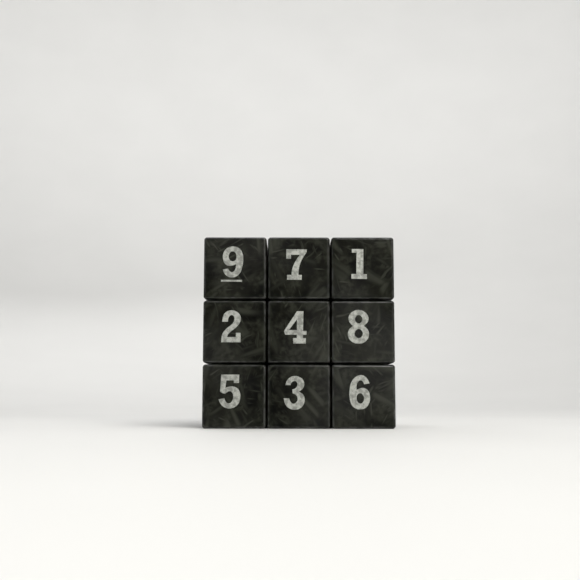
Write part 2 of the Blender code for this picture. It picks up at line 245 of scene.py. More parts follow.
def count_property(name, description, default, least):
    """A whole number that a user may change."""
    return bpy.props.IntProperty(name=name, description=description, default=default, min=least)


def colour_property(name, description, default):
    """A colour that a user may change."""
    return bpy.props.FloatVectorProperty(
        name=name, description=description, default=default, subtype="COLOR", size=3, min=0.0, max=1.0
    )


class CubieSizes(bpy.types.PropertyGroup):
    """Sizes of the cubies and of what holds them inside."""

    rounding: length_property("Edge rounding", "Radius of a cubie's edges", 0.9 * MM)
    round_steps: count_property("Rounding steps", "Facets along half of a rounded edge", 4, 1)
    ball_hollow: length_property("Ball hollow", "Radius of the hollow inside the cubies", 20.75 * MM)
    ball_sides: count_property("Ball sides", "Facets round the ball shapes", 48, 8)
    wall: length_property("Wall", "Wall round what is hollow in a cubie", 1.8 * MM)
    corner_floor: length_property("Corner floor", "Floor under the cavity of a corner", 2.0 * MM)
    foot_outside: length_property("Foot outside", "Outer radius of an edge's foot", 20.15 * MM)
    foot_inside: length_property("Foot inside", "Inner radius of an edge's foot", 15.75 * MM)
    foot_side: length_property("Foot side", "Half the width of an edge's foot", 4.9 * MM)
    neck_step: length_property("Neck step", "How far the neck stands back from the cubie", 0.3 * MM)
    stalk_hole: length_property("Stalk hole", "Radius of the hole for a corner's foot", 2.07 * MM)
    stalk_top: length_property("Stalk top", "Where the hole ends on the diagonal", 24.75 * MM)
    cap_thickness: length_property("Cap thickness", "Thickness of a centre tile", 2.4 * MM)
    plug_outside: length_property("Plug outside", "Half the width of a centre tile's plug", 7.2 * MM)
    plug_wall: length_property("Plug wall", "Wall of a centre tile's plug", 1.2 * MM)


class NumeralSizes(bpy.types.PropertyGroup):
    """Sizes of the numerals on the tiles."""

    proud: length_property("Proud", "How far the foil stands out of a tile", 0.03 * MM)
    sunk: length_property("Sunk", "How far the foil is pressed into a tile", 0.05 * MM)
    thinning: length_property("Thinning", "How far the strokes shrink on each side", 0.07 * MM)
    curve_steps: count_property("Curve steps", "Facets between two knots of an outline", 7, 1)


class SpringSizes(bpy.types.PropertyGroup):
    """Sizes of the coil springs."""

    wire_radius: length_property("Wire radius", "Radius of the spring wire", 0.3 * MM)
    turns: number_property("Turns", "Turns of the coil", 4.0)
    turn_steps: count_property("Turn steps", "Facets along the whole coil", 128, 16)
    wire_sides: count_property("Wire sides", "Facets round the wire", 10, 3)


class FinishColours(bpy.types.PropertyGroup):
    """Colours of the finishes."""

    tile: colour_property("Tile", "Charcoal of the cubies", (0.0062, 0.0066, 0.0036))
    tile_dark: colour_property("Tile shade", "Darker cloud in the charcoal", (0.0007, 0.0009, 0.0009))
    scuff: colour_property("Scuff", "Faint rubbed streaks", (0.039, 0.0415, 0.032))
    # Worn edge colour: rubbed wear on the rounded edges, and also painted highlight along the bevels
    wear: colour_property("Worn edge", "Rubbed edges of the cubies", (0.034, 0.0345, 0.033))
    foil_light: colour_property("Foil", "Light part of the silver-grey foil", (0.33, 0.34, 0.315))
    foil_dark: colour_property("Foil speckle", "Darker speckle in the foil", (0.16, 0.165, 0.153))
    inner: colour_property("Inner plastic", "Black plastic of the mechanism", (0.012, 0.012, 0.013))
    inner_light: colour_property("Inner bloom", "Pale bloom on the black plastic", (0.022, 0.022, 0.023))
    zinc: colour_property("Zinc plate", "Plated screws and washers", (0.62, 0.62, 0.6))
    zinc_dark: colour_property("Zinc shade", "Dull patches in the plate", (0.44, 0.45, 0.46))
    wire: colour_property("Spring wire", "Drawn steel of the springs", (0.45, 0.45, 0.46))
    wire_dark: colour_property("Spring wire shade", "Oil-dark patches on the wire", (0.25, 0.25, 0.27))
    floor: colour_property("Floor", "Plain pale floor", (0.74, 0.735, 0.72))
    sky: colour_property("Surroundings", "Pale light from all round", (0.86, 0.9, 0.95))


class StageSizes(bpy.types.PropertyGroup):
    """Camera, floor and surroundings."""

    camera_place: bpy.props.FloatVectorProperty(
        name="Camera place",
        description="Where the camera stands",
        default=(-2.65 * MM, -296.5 * MM, 8.5 * MM),
        subtype="TRANSLATION",
        unit="LENGTH",
    )
    camera_pitch: angle_property("Camera pitch", "How far the camera looks up", 6.9)
    camera_roll: angle_property("Camera roll", "Turn about the line of sight", 0.07)
    lens: number_property("Lens", "Focal length in millimetres on the sensor", 56.17)
    sensor: number_property("Sensor", "Sensor width in millimetres", 36.0)
    clip_start: length_property("Nearest view", "Nearest distance the camera sees", 0.005)
    floor_radius: length_property("Floor radius", "Flat part of the floor", 0.5)
    floor_sweep: length_property("Floor sweep", "Radius of the curve up to the wall", 1.3)
    wall_height: length_property("Wall height", "Straight wall above the curve", 0.8)
    floor_drop: length_property("Floor drop", "Gap under the cube", 0.05 * MM)
    floor_sides: count_property("Floor sides", "Facets round the floor", 128, 8)
    sweep_steps: count_property("Sweep steps", "Facets along the curve up to the wall", 40, 1)
    sky_strength: number_property("Surrounding light", "Strength of the light from all round", 0.12)


# Node trees

CREASE_ANGLE = math.radians(35)
FULL_BEVEL = math.cos(math.pi / 4)


def fill_inputs(tree, node, inputs):
    """Link or fill a node's inputs by name or number."""
    for key, value in inputs.items():
        if isinstance(value, bpy.types.NodeSocket):
            tree.links.new(value, node.inputs[key])
        else:
            node.inputs[key].default_value = value


def add_node(tree, kind, inputs=None, **settings):
    """Add a node, set it up, and link or fill its inputs."""
    node = tree.nodes.new(kind)
    for setting, value in settings.items():
        setattr(node, setting, value)
    fill_inputs(tree, node, inputs or {})
    return node


def new_tree(name, kind, inputs, outputs):
    """A node tree with named sockets, its input node and its output node."""
    tree = bpy.data.node_groups.new(name, kind)
    for in_out, sockets in (("INPUT", inputs), ("OUTPUT", outputs)):
        for label, socket in sockets.items():
            tree.interface.new_socket(label, in_out=in_out, socket_type=f"NodeSocket{socket}")
    return tree, tree.nodes.new("NodeGroupInput").outputs, tree.nodes.new("NodeGroupOutput").inputs


def shape_tree(name, inputs):
    """A geometry tree with named inputs, its input node and its output node."""
    return new_tree(name, "GeometryNodeTree", inputs, {"Geometry": "Geometry"})


def box_sockets(*names):
    """Named inputs for the lowest and the highest corners of boxes."""
    return {f"{name} {end}": "Vector" for name in names for end in ("Low", "High")}


def math_node(tree, operation, *values):
    """One sum on numbers."""
    return add_node(tree, "ShaderNodeMath", dict(enumerate(values)), operation=operation).outputs[0]


def vector_node(tree, operation, *values):
    """One sum on vectors."""
    return add_node(tree, "ShaderNodeVectorMath", dict(enumerate(values)), operation=operation).outputs[0]


def scaled(tree, vector, scale):
    """A vector times a number."""
    return add_node(tree, "ShaderNodeVectorMath", {0: vector, "Scale": scale}, operation="SCALE").outputs[0]


def upward(tree, height):
    """A vector straight up."""
    return add_node(tree, "ShaderNodeCombineXYZ", {"Z": height}).outputs[0]


def moved(tree, shape, offset=(0, 0, 0), angles=(0, 0, 0)):
    """A shape turned about the middle of the core and then moved."""
    turn = add_node(tree, "FunctionNodeEulerToRotation", {0: angles}).outputs[0]
    inputs = {"Geometry": shape, "Translation": offset, "Rotation": turn}
    return add_node(tree, "GeometryNodeTransform", inputs).outputs[0]


def rounded_block(tree, group_in):
    """The tree's block with rounded edges, with how round each point is kept as edge_wear, the mask for
    rubbed wear and painted highlight on the edges.
    """
    low = group_in["Block Low"]
    high = group_in["Block High"]
    rounding = group_in["Rounding"]
    segments = math_node(tree, "MULTIPLY", group_in["Round Steps"], 2.0)
    count = math_node(tree, "ADD", segments, 2.0)
    lines = math_node(tree, "ADD", segments, 1.0)
    counts = dict.fromkeys(("Vertices X", "Vertices Y", "Vertices Z"), count)
    cube = add_node(tree, "GeometryNodeMeshCube", {"Size": (2, 2, 2)} | counts).outputs["Mesh"]
    # Every line of the grid moves out to a rim, where it lies on a ball's surface
    grid = add_node(tree, "GeometryNodeInputPosition").outputs[0]
    side = vector_node(tree, "SIGN", grid)
    line = vector_node(tree, "SUBTRACT", scaled(tree, vector_node(tree, "ABSOLUTE", grid), lines), (1, 1, 1))
    share = vector_node(tree, "MAXIMUM", vector_node(tree, "DIVIDE", line, segments), (0, 0, 0))
    slope = vector_node(tree, "TANGENT", scaled(tree, share, math.pi / 4))
    outward = vector_node(tree, "NORMALIZE", vector_node(tree, "MULTIPLY", side, slope))
    middle = scaled(tree, vector_node(tree, "ADD", low, high), 0.5)
    half = scaled(tree, vector_node(tree, "SUBTRACT", high, low), 0.5)
    flat = vector_node(tree, "MULTIPLY", side, vector_node(tree, "SUBTRACT", half, rounding))
    place = vector_node(tree, "ADD", vector_node(tree, "ADD", middle, flat), scaled(tree, outward, rounding))
    facing = add_node(tree, "ShaderNodeSeparateXYZ", {0: vector_node(tree, "ABSOLUTE", outward)}).outputs
    most = math_node(tree, "MAXIMUM", math_node(tree, "MAXIMUM", facing[0], facing[1]), facing[2])
    slant = {"Value": most, "From Min": 1.0, "From Max": FULL_BEVEL}
    wear = add_node(tree, "ShaderNodeMapRange", slant).outputs[0]
    # Roundness stored here marks where the edges get rubbed wear and painted highlight
    mark = {"Geometry": cube, "Name": "edge_wear", "Value": wear}
    marked = add_node(tree, "GeometryNodeStoreNamedAttribute", mark, data_type="FLOAT", domain="POINT")
    shaped = {"Geometry": marked.outputs[0], "Position": place}
    return add_node(tree, "GeometryNodeSetPosition", shaped).outputs[0]


def box_block(tree, group_in, name):
    """A plain block between two corners that are inputs of the tree."""
    low = group_in[f"{name} Low"]
    high = group_in[f"{name} High"]
    size = vector_node(tree, "SUBTRACT", high, low)
    cube = add_node(tree, "GeometryNodeMeshCube", {"Size": size}).outputs["Mesh"]
    return moved(tree, cube, scaled(tree, vector_node(tree, "ADD", low, high), 0.5))


def ball_shape(tree, group_in, name):
    """A ball about the middle of the core, with a radius that is an input of the tree."""
    sides = group_in["Ball Sides"]
    rings = math_node(tree, "MULTIPLY", sides, 0.5)
    inputs = {"Segments": sides, "Rings": rings, "Radius": group_in[name]}
    return add_node(tree, "GeometryNodeMeshUVSphere", inputs).outputs["Mesh"]


def boolean(tree, operation, first, second):
    """Cut, join or intersect two shapes."""
    node = add_node(tree, "GeometryNodeMeshBoolean", operation=operation, solver="MANIFOLD")
    if operation == "DIFFERENCE":
        tree.links.new(first, node.inputs["Mesh 1"])
    else:
        tree.links.new(first, node.inputs["Mesh 2"])
    tree.links.new(second, node.inputs["Mesh 2"])
    return node.outputs["Mesh"]


def finish_tree(tree, shape, group_in, group_out):
    """Make a tree's instances real and give them their finish."""
    realized = add_node(tree, "GeometryNodeRealizeInstances", {"Geometry": shape}).outputs[0]
    inputs = {"Geometry": realized, "Material": group_in["Material"]}
    finished = add_node(tree, "GeometryNodeSetMaterial", inputs).outputs[0]
    tree.links.new(finished, group_out["Geometry"])
    return tree


def close_tree(tree, shape, group_in, group_out):
    """Turn a shape to its place about the core, smooth and crease it, and give it its finish."""
    placed = moved(tree, shape, group_in["Core"], group_in["Turn"])
    angle = add_node(tree, "GeometryNodeInputMeshEdgeAngle").outputs["Unsigned Angle"]
    sharp = add_node(tree, "FunctionNodeCompare", {0: angle, 1: CREASE_ANGLE}, operation="GREATER_THAN")
    smooth = add_node(tree, "GeometryNodeSetShadeSmooth", {"Geometry": placed}, domain="FACE")
    creases = {"Geometry": smooth.outputs[0], "Selection": sharp.outputs[0], "Shade Smooth": False}
    creased = add_node(tree, "GeometryNodeSetShadeSmooth", creases, domain="EDGE")
    return finish_tree(tree, creased.outputs[0], group_in, group_out)


PLACED_INPUTS = {"Turn": "Vector", "Core": "Vector", "Material": "Material"}
BLOCK_INPUTS = box_sockets("Block") | {"Rounding": "Float", "Round Steps": "Int"}
BALL_INPUTS = {"Ball Hollow": "Float", "Ball Sides": "Int"}


def hollow_cubie(tree, group_in):
    """A rounded block with the ball hollow taken away."""
    block = rounded_block(tree, group_in)
    return boolean(tree, "DIFFERENCE", block, ball_shape(tree, group_in, "Ball Hollow"))


def edge_tree():
    """Edge cubie with the neck and foot that hold it."""
    pockets = ("Back Pocket", "Top Pocket")
    own = box_sockets(*pockets, "Foot", "Neck") | {"Foot Outside": "Float", "Foot Inside": "Float"}
    tree, group_in, group_out = shape_tree("Edge cubie", BLOCK_INPUTS | BALL_INPUTS | own | PLACED_INPUTS)
    slab = box_block(tree, group_in, "Foot")
    foot = boolean(tree, "INTERSECT", slab, ball_shape(tree, group_in, "Foot Outside"))
    held = boolean(tree, "UNION", foot, box_block(tree, group_in, "Neck"))
    held = boolean(tree, "DIFFERENCE", held, ball_shape(tree, group_in, "Foot Inside"))
    cubie = hollow_cubie(tree, group_in)
    for pocket in pockets:
        cubie = boolean(tree, "DIFFERENCE", cubie, box_block(tree, group_in, pocket))
    return close_tree(tree, boolean(tree, "UNION", cubie, held), group_in, group_out)


def corner_tree():
    """Hollow corner cubie with a hole on its diagonal for the foot's stalk."""
    stalk = {"Stalk Hole": "Float", "Stalk Top": "Float", "Stalk Turn": "Vector"}
    own = box_sockets("Cavity") | {"Cavity Floor": "Float"} | stalk
    tree, group_in, group_out = shape_tree("Corner cubie", BLOCK_INPUTS | BALL_INPUTS | own | PLACED_INPUTS)
    top = group_in["Stalk Top"]
    inputs = {"Vertices": group_in["Ball Sides"], "Radius": group_in["Stalk Hole"], "Depth": top}
    drill = add_node(tree, "GeometryNodeMeshCylinder", inputs).outputs["Mesh"]
    drill = moved(tree, drill, upward(tree, math_node(tree, "MULTIPLY", top, 0.5)))
    drill = moved(tree, drill, angles=group_in["Stalk Turn"])
    space = box_block(tree, group_in, "Cavity")
    cavity = boolean(tree, "DIFFERENCE", space, ball_shape(tree, group_in, "Cavity Floor"))
    hollow = boolean(tree, "UNION", cavity, drill)
    shape = boolean(tree, "DIFFERENCE", hollow_cubie(tree, group_in), hollow)
    return close_tree(tree, shape, group_in, group_out)


def cap_tree():
    """Centre tile with the square plug that fits its cup."""
    own = box_sockets("Plug", "Space")
    tree, group_in, group_out = shape_tree("Centre tile", BLOCK_INPUTS | own | PLACED_INPUTS)
    plug = box_block(tree, group_in, "Plug")
    ring = boolean(tree, "DIFFERENCE", plug, box_block(tree, group_in, "Space"))
    shape = boolean(tree, "UNION", rounded_block(tree, group_in), ring)
    return close_tree(tree, shape, group_in, group_out)


def spring_tree():
    """Coil spring along a screw."""
    own = dict.fromkeys(("Coil Radius", "Wire Radius", "Low", "Rise", "Turns"), "Float")
    own |= dict.fromkeys(("Turn Steps", "Wire Sides"), "Int")
    tree, group_in, group_out = shape_tree("Coil spring", own | PLACED_INPUTS)
    spiral = {
        "Resolution": math_node(tree, "DIVIDE", group_in["Turn Steps"], group_in["Turns"]),
        "Rotations": group_in["Turns"],
        "Start Radius": group_in["Coil Radius"],
        "End Radius": group_in["Coil Radius"],
        "Height": group_in["Rise"],
    }
    coil = add_node(tree, "GeometryNodeCurveSpiral", spiral).outputs[0]
    circle = {"Resolution": group_in["Wire Sides"], "Radius": group_in["Wire Radius"]}
    section = add_node(tree, "GeometryNodeCurvePrimitiveCircle", circle, mode="RADIUS").outputs[0]
    sweep = {"Curve": coil, "Profile Curve": section, "Fill Caps": True}
    wire = add_node(tree, "GeometryNodeCurveToMesh", sweep).outputs[0]
    lifted = moved(tree, wire, upward(tree, group_in["Low"]))
    return close_tree(tree, lifted, group_in, group_out)


def named_attribute(tree, name, data_type):
    """A value that the points of a shape carry."""
    node = add_node(tree, "GeometryNodeInputNamedAttribute", {"Name": name}, data_type=data_type)
    return node.outputs["Attribute"]


def numeral_tree():
    """Numerals set on the facelets of one cubie."""
    inputs = {"Geometry": "Geometry", "Numerals": "Collection", "Material": "Material"}
    tree, group_in, group_out = shape_tree("Numerals", inputs)
    numerals = {"Collection": group_in["Numerals"], "Separate Children": True, "Reset Children": True}
    stock = add_node(tree, "GeometryNodeCollectionInfo", numerals).outputs[0]
    facing = named_attribute(tree, "facelet_turn", "FLOAT_VECTOR")
    prints = {
        "Points": group_in["Geometry"],
        "Instance": stock,
        "Pick Instance": True,
        "Instance Index": named_attribute(tree, "facelet_numeral", "INT"),
        "Rotation": add_node(tree, "FunctionNodeEulerToRotation", {0: facing}).outputs[0],
    }
    printed = add_node(tree, "GeometryNodeInstanceOnPoints", prints).outputs[0]
    return finish_tree(tree, printed, group_in, group_out)


# Patterns of the finishes

# Clouds: their size in millimetres, their detail, and the noise values between which they fade in
CLOUDS = {
    "tile_sheen": (30.0, 1.0, 0.38, 0.62),
    "tile_clouds": (9.0, 3.0, 0.35, 0.68),
    "tile_mottle": (1.6, 4.0, 0.3, 0.72),
    "tile_blotches": (4.5, 3.0, 0.4, 0.65),
    "tile_rub": (1.8, 3.0, 0.42, 0.66),
    "foil_patches": (1.0, 2.0, 0.32, 0.62),
    "foil_specks": (0.32, 1.0, 0.28, 0.55),
    "nylon_bloom": (3.0, 3.0, 0.45, 0.75),
    "zinc_patches": (1.2, 4.0, 0.35, 0.7),
    "wire_patches": (0.8, 4.0, 0.35, 0.7),
    "metal_lines": (0.15, 2.0, 0.3, 0.7),
    "floor_tone": (120.0, 2.0, 0.2, 0.8),
}

# Scuffs: the size of their patches and their width in millimetres, and the noise values they fade in between
SCUFFS = {"smears": (11.0, 2.4, 0.46, 0.72), "scratches": (7.0, 0.9, 0.54, 0.74)}

# How scuffs are drawn: how far they wander, how their two layers are shifted, how long they are drawn out,
# how soon they are whole inside a patch, and the chance from which a patch has them in full
SCUFF_WANDER = 0.15
SCUFF_LAYERS = ((0.0, 0.0, 0.0), (0.013, 0.029, 0.017))
SCUFF_STRETCH = (0.13, 1.0, 1.0)
SCUFF_RIM = 0.15
SCUFF_FULL = 0.6

# A tile faces an axis when its normal goes along it by more than this
SIDE_FACING = 0.7

# Scale of the broad grain under the fine one
BROAD_GRAIN = 0.12


def noise(tree, vector, scale, detail):
    """Noise value over the surface."""
    inputs = {"Vector": vector, "Scale": scale, "Detail": detail}
    return add_node(tree, "ShaderNodeTexNoise", inputs).outputs[0]


def spread(tree, value, low, high):
    """A value mapped smoothly from a range to nothing and all."""
    inputs = {"Value": value, "From Min": low, "From Max": high}
    return add_node(tree, "ShaderNodeMapRange", inputs, interpolation_type="SMOOTHSTEP").outputs[0]


def mixed(tree, share, first, second):
    """A colour between two colours."""
    node = add_node(tree, "ShaderNodeMix", {"Factor": share}, data_type="RGBA")
    sockets = [socket for socket in node.inputs if socket.type == "RGBA"]
    for socket, colour in zip(sockets, (first, second)):
        if isinstance(colour, bpy.types.NodeSocket):
            tree.links.new(colour, socket)
        else:
            socket.default_value = (*colour, 1.0)
    return next(socket for socket in node.outputs if socket.type == "RGBA")


def blended(tree, share, first, second):
    """A number between two numbers."""
    return add_node(tree, "ShaderNodeMix", {0: share, 2: first, 3: second}).outputs[0]


def cloud_mask(tree, group_in):
    """Soft clouds of one size."""
    value = noise(tree, group_in["Vector"], group_in["Scale"], group_in["Detail"])
    return spread(tree, value, group_in["Low"], group_in["High"])


def face_plane(tree, place, normal):
    """Place on a tile as across, along and depth, whichever way the tile faces."""
    x, y, z = add_node(tree, "ShaderNodeSeparateXYZ", {0: place}).outputs
    sides = add_node(tree, "ShaderNodeSeparateXYZ", {0: vector_node(tree, "ABSOLUTE", normal)}).outputs
    faces_x = math_node(tree, "GREATER_THAN", sides[0], SIDE_FACING)
    faces_z = math_node(tree, "GREATER_THAN", sides[2], SIDE_FACING)
    across = blended(tree, faces_x, x, y)
    along = blended(tree, faces_z, z, y)
    depth = blended(tree, faces_z, blended(tree, faces_x, y, x), z)
    return add_node(tree, "ShaderNodeCombineXYZ", {"X": across, "Y": along, "Z": depth}).outputs[0]


def scuff_mask(tree, group_in):
    """Faint wispy streaks in the plane of a tile, each patch drawn its own way."""
    patch = group_in["Patch Scale"]
    plane = face_plane(tree, group_in["Vector"], group_in["Normal"])
    wander = add_node(tree, "ShaderNodeTexNoise", {"Vector": plane, "Scale": patch, "Detail": 1.0})
    reach = math_node(tree, "DIVIDE", SCUFF_WANDER, patch)
    bend = scaled(tree, vector_node(tree, "SUBTRACT", wander.outputs["Color"], (0.5, 0.5, 0.5)), reach)
    bent = vector_node(tree, "ADD", plane, bend)
    masks = []
    for offset in SCUFF_LAYERS:
        cell = {"Vector": vector_node(tree, "ADD", bent, offset), "Scale": patch}
        cells = add_node(tree, "ShaderNodeTexVoronoi", cell)
        rim = add_node(tree, "ShaderNodeTexVoronoi", cell, feature="DISTANCE_TO_EDGE")
        chance = add_node(tree, "ShaderNodeSeparateColor", {0: cells.outputs["Color"]}).outputs
        aim = {"Vector": cell["Vector"], "Angle": math_node(tree, "MULTIPLY", chance[0], math.pi)}
        turned = add_node(tree, "ShaderNodeVectorRotate", aim, rotation_type="Z_AXIS").outputs[0]
        drawn = vector_node(tree, "MULTIPLY", turned, SCUFF_STRETCH)
        value = noise(tree, drawn, group_in["Width Scale"], 1.0)
        streak = spread(tree, value, group_in["Low"], group_in["High"])
        faded = math_node(tree, "MULTIPLY", streak, spread(tree, rim.outputs["Distance"], 0.0, SCUFF_RIM))
        masks.append(math_node(tree, "MULTIPLY", faded, spread(tree, chance[1], 0.0, SCUFF_FULL)))
    return math_node(tree, "MAXIMUM", *masks)


def grain_height(tree, group_in):
    """Fine moulded grain on a broader one."""
    fine = noise(tree, group_in["Vector"], group_in["Scale"], 2.0)
    broad_scale = math_node(tree, "MULTIPLY", group_in["Scale"], BROAD_GRAIN)
    return math_node(tree, "ADD", fine, noise(tree, group_in["Vector"], broad_scale, 1.0))


# Shader groups: what fills each of them, its output, its vector inputs and its number inputs
SHADER_GROUPS = {
    "Clouds": (cloud_mask, "Mask", ("Vector",), ("Scale", "Detail", "Low", "High")),
    "Scuffs": (scuff_mask, "Mask", ("Vector", "Normal"), ("Patch Scale", "Width Scale", "Low", "High")),
    "Moulded grain": (grain_height, "Height", ("Vector",), ("Scale",)),
}


def use_group(tree, name, inputs):
    """A shader group placed in a material. The group is built when it is first asked for."""
    if name not in bpy.data.node_groups:
        fill, output, vectors, numbers = SHADER_GROUPS[name]
        sockets = dict.fromkeys(vectors, "Vector") | dict.fromkeys(numbers, "Float")
        group, group_in, group_out = new_tree(name, "ShaderNodeTree", sockets, {output: "Float"})
        group.links.new(fill(group, group_in), group_out[output])
    return add_node(tree, "ShaderNodeGroup", inputs, node_tree=bpy.data.node_groups[name]).outputs[0]


def per_size(millimetres):
    """Noise scale whose features have about this size."""
    return 1.0 / (millimetres * MM)


def clouds(tree, place, pattern):
    """Clouds of one pattern, as a mask."""
    size, detail, low, high = CLOUDS[pattern]
    inputs = {"Vector": place, "Scale": per_size(size), "Detail": detail, "Low": low, "High": high}
    return use_group(tree, "Clouds", inputs)


def scuffs(tree, place, pattern):
    """Scuffs of one pattern, as a mask."""
    patch, width, low, high = SCUFFS[pattern]
    inputs = {"Vector": place, "Normal": place.node.outputs["Normal"], "Low": low, "High": high}
    scales = {"Patch Scale": per_size(patch), "Width Scale": per_size(width)}
    return use_group(tree, "Scuffs", inputs | scales)


def grain(tree, place, size):
    """Moulded grain of one size in millimetres, as a height."""
    return use_group(tree, "Moulded grain", {"Vector": place, "Scale": per_size(size)})


def bump(tree, height, strength, distance):
    """A normal bent by a height."""
    inputs = {"Height": height, "Strength": strength, "Distance": distance}
    return add_node(tree, "ShaderNodeBump", inputs).outputs[0]


def new_material(name):
    """A material with its Principled shader and its object coordinates."""
    material = bpy.data.materials.new(name)
    material.use_nodes = True
    tree = material.node_tree
    shader = tree.nodes["Principled BSDF"]
    coordinates = tree.nodes.new("ShaderNodeTexCoord").outputs["Object"]
    return material, tree, shader, coordinates


# Charcoal plastic: shares of its marks, its roughness and sheen, the gloss of its bevels, and its relief
CLOUD_SHARE = 0.6
MOTTLE_SHARE = 0.4
SMEAR_SHARE = 0.55
SCRATCH_SHARE = 0.6
HAZE_SHARE = 0.4
TILE_ROUGHNESS = 0.3
CLOUD_DULLING = 0.1
SCUFF_DULLING = 0.05
TILE_SPECULAR = 0.04
SHEEN_SPECULAR = 0.12
BEVEL_WEAR = 0.35
BEVEL_GLOSS = 0.4
RUBBED_GLOSS = 0.6
BEVEL_ROUGHNESS = 0.15
TILE_GRAIN = 0.16
SCUFF_RELIEF = 5.0
TILE_BUMP = (0.18, 0.02 * MM)


def charcoal_plastic(colours):
    """Satin charcoal plastic, clouded, scuffed, and lighter along its rounded edges with rubbed wear and
    painted highlight.
    """
    material, tree, shader, place = new_material("charcoal_plastic")
    sheen = clouds(tree, place, "tile_sheen")
    broad = clouds(tree, place, "tile_clouds")
    mottle = clouds(tree, place, "tile_mottle")
    blotches = clouds(tree, place, "tile_blotches")
    rub = clouds(tree, place, "tile_rub")
    smears = math_node(tree, "MULTIPLY", scuffs(tree, place, "smears"), SMEAR_SHARE)
    scratches = math_node(tree, "MULTIPLY", scuffs(tree, place, "scratches"), SCRATCH_SHARE)
    marks = math_node(tree, "MAXIMUM", smears, scratches)
    edge = add_node(tree, "ShaderNodeAttribute", attribute_name="edge_wear").outputs["Fac"]
    fine = math_node(tree, "MULTIPLY", mottle, MOTTLE_SHARE)
    depth = math_node(tree, "MULTIPLY_ADD", broad, CLOUD_SHARE, fine)
    colour = mixed(tree, depth, colours.tile_dark, colours.tile)
    haze = math_node(tree, "MULTIPLY", math_node(tree, "MULTIPLY", mottle, blotches), HAZE_SHARE)
    colour = mixed(tree, math_node(tree, "MAXIMUM", marks, haze), colour, colours.scuff)
    # Rounded edges made lighter: partly rubbed wear, partly painted highlight along the bevels
    colour = mixed(tree, math_node(tree, "MULTIPLY", edge, rub), colour, colours.wear)
    satin = math_node(tree, "MULTIPLY_ADD", broad, CLOUD_DULLING, TILE_ROUGHNESS)
    bevel = spread(tree, edge, 0.0, BEVEL_WEAR)
    gloss = math_node(tree, "MULTIPLY_ADD", rub, RUBBED_GLOSS, BEVEL_GLOSS)
    relief = math_node(tree, "MULTIPLY_ADD", marks, SCUFF_RELIEF, grain(tree, place, TILE_GRAIN))
    looks = {
        "Base Color": colour,
        "Roughness": math_node(tree, "MULTIPLY_ADD", marks, SCUFF_DULLING, satin),
        "Specular IOR Level": math_node(tree, "MULTIPLY_ADD", sheen, SHEEN_SPECULAR, TILE_SPECULAR),
        "Coat Weight": math_node(tree, "MULTIPLY", bevel, gloss),
        "Coat Roughness": BEVEL_ROUGHNESS,
        "Normal": bump(tree, relief, *TILE_BUMP),
    }
    fill_inputs(tree, shader, looks)
    return material


# Silver foil: shares of its light patches and specks, its roughness, its metal and its relief
PATCH_SHARE = 0.55
SPECK_SHARE = 0.45
FOIL_ROUGHNESS = 0.55
FOIL_POLISH = -0.15
FOIL_METAL = 0.15
FOIL_GRAIN = 0.12
FOIL_BUMP = (0.15, 0.02 * MM)


def silver_foil(colours):
    """Silver-grey foil, speckled where it took unevenly."""
    material, tree, shader, place = new_material("silver_foil")
    patches = clouds(tree, place, "foil_patches")
    both = math_node(tree, "MULTIPLY", patches, clouds(tree, place, "foil_specks"))
    specks = math_node(tree, "MULTIPLY", both, SPECK_SHARE)
    taken = math_node(tree, "MULTIPLY_ADD", patches, PATCH_SHARE, specks)
    looks = {
        "Base Color": mixed(tree, taken, colours.foil_dark, colours.foil_light),
        "Roughness": math_node(tree, "MULTIPLY_ADD", taken, FOIL_POLISH, FOIL_ROUGHNESS),
        "Metallic": FOIL_METAL,
        "Normal": bump(tree, grain(tree, place, FOIL_GRAIN), *FOIL_BUMP),
    }
    fill_inputs(tree, shader, looks)
    return material


# Black nylon: its roughness, how much its bloom dulls it, and its relief
NYLON_ROUGHNESS = 0.42
BLOOM_DULLING = 0.15
NYLON_GRAIN = 0.2
NYLON_BUMP = (0.25, 0.03 * MM)


def black_nylon(colours):
    """Black nylon of the mechanism."""
    material, tree, shader, place = new_material("black_nylon")
    bloom = clouds(tree, place, "nylon_bloom")
    looks = {
        "Base Color": mixed(tree, bloom, colours.inner, colours.inner_light),
        "Roughness": math_node(tree, "MULTIPLY_ADD", bloom, BLOOM_DULLING, NYLON_ROUGHNESS),
        "Normal": bump(tree, grain(tree, place, NYLON_GRAIN), *NYLON_BUMP),
    }
    fill_inputs(tree, shader, looks)
    return material


# Metals: their roughness, how much their fine lines dull them, and their relief
ZINC_ROUGHNESS = 0.28
WIRE_ROUGHNESS = 0.25
LINE_DULLING = 0.15
METAL_BUMP = (0.2, 0.01 * MM)


def metal(name, light, dark, pattern, roughness):
    """Plated or drawn steel with dull patches and fine lines."""
    material, tree, shader, place = new_material(name)
    lines = clouds(tree, place, "metal_lines")
    looks = {
        "Base Color": mixed(tree, clouds(tree, place, pattern), dark, light),
        "Roughness": math_node(tree, "MULTIPLY_ADD", lines, LINE_DULLING, roughness),
        "Metallic": 1.0,
        "Normal": bump(tree, lines, *METAL_BUMP),
    }
    fill_inputs(tree, shader, looks)
    return material


def zinc_plate(colours):
    """Bright zinc of the screws and washers."""
    return metal("zinc_plate", colours.zinc, colours.zinc_dark, "zinc_patches", ZINC_ROUGHNESS)


def spring_wire(colours):
    """Drawn steel of the springs."""
    return metal("spring_wire", colours.wire, colours.wire_dark, "wire_patches", WIRE_ROUGHNESS)


# Pale floor: its darker tone and its roughness
FLOOR_SHADE = 0.97
FLOOR_ROUGHNESS = 0.7


def pale_floor(colours):
    """Plain pale floor with hardly any tone."""
    material, tree, shader, place = new_material("pale_floor")
    darker = tuple(FLOOR_SHADE * part for part in colours.floor)
    tone = clouds(tree, place, "floor_tone")
    looks = {"Base Color": mixed(tree, tone, darker, colours.floor), "Roughness": FLOOR_ROUGHNESS}
    fill_inputs(tree, shader, looks)
    return material


FINISHES = {
    "tile_plastic": charcoal_plastic,
    "numeral_foil": silver_foil,
    "inner_plastic": black_nylon,
    "screw_steel": zinc_plate,
    "spring_steel": spring_wire,
}


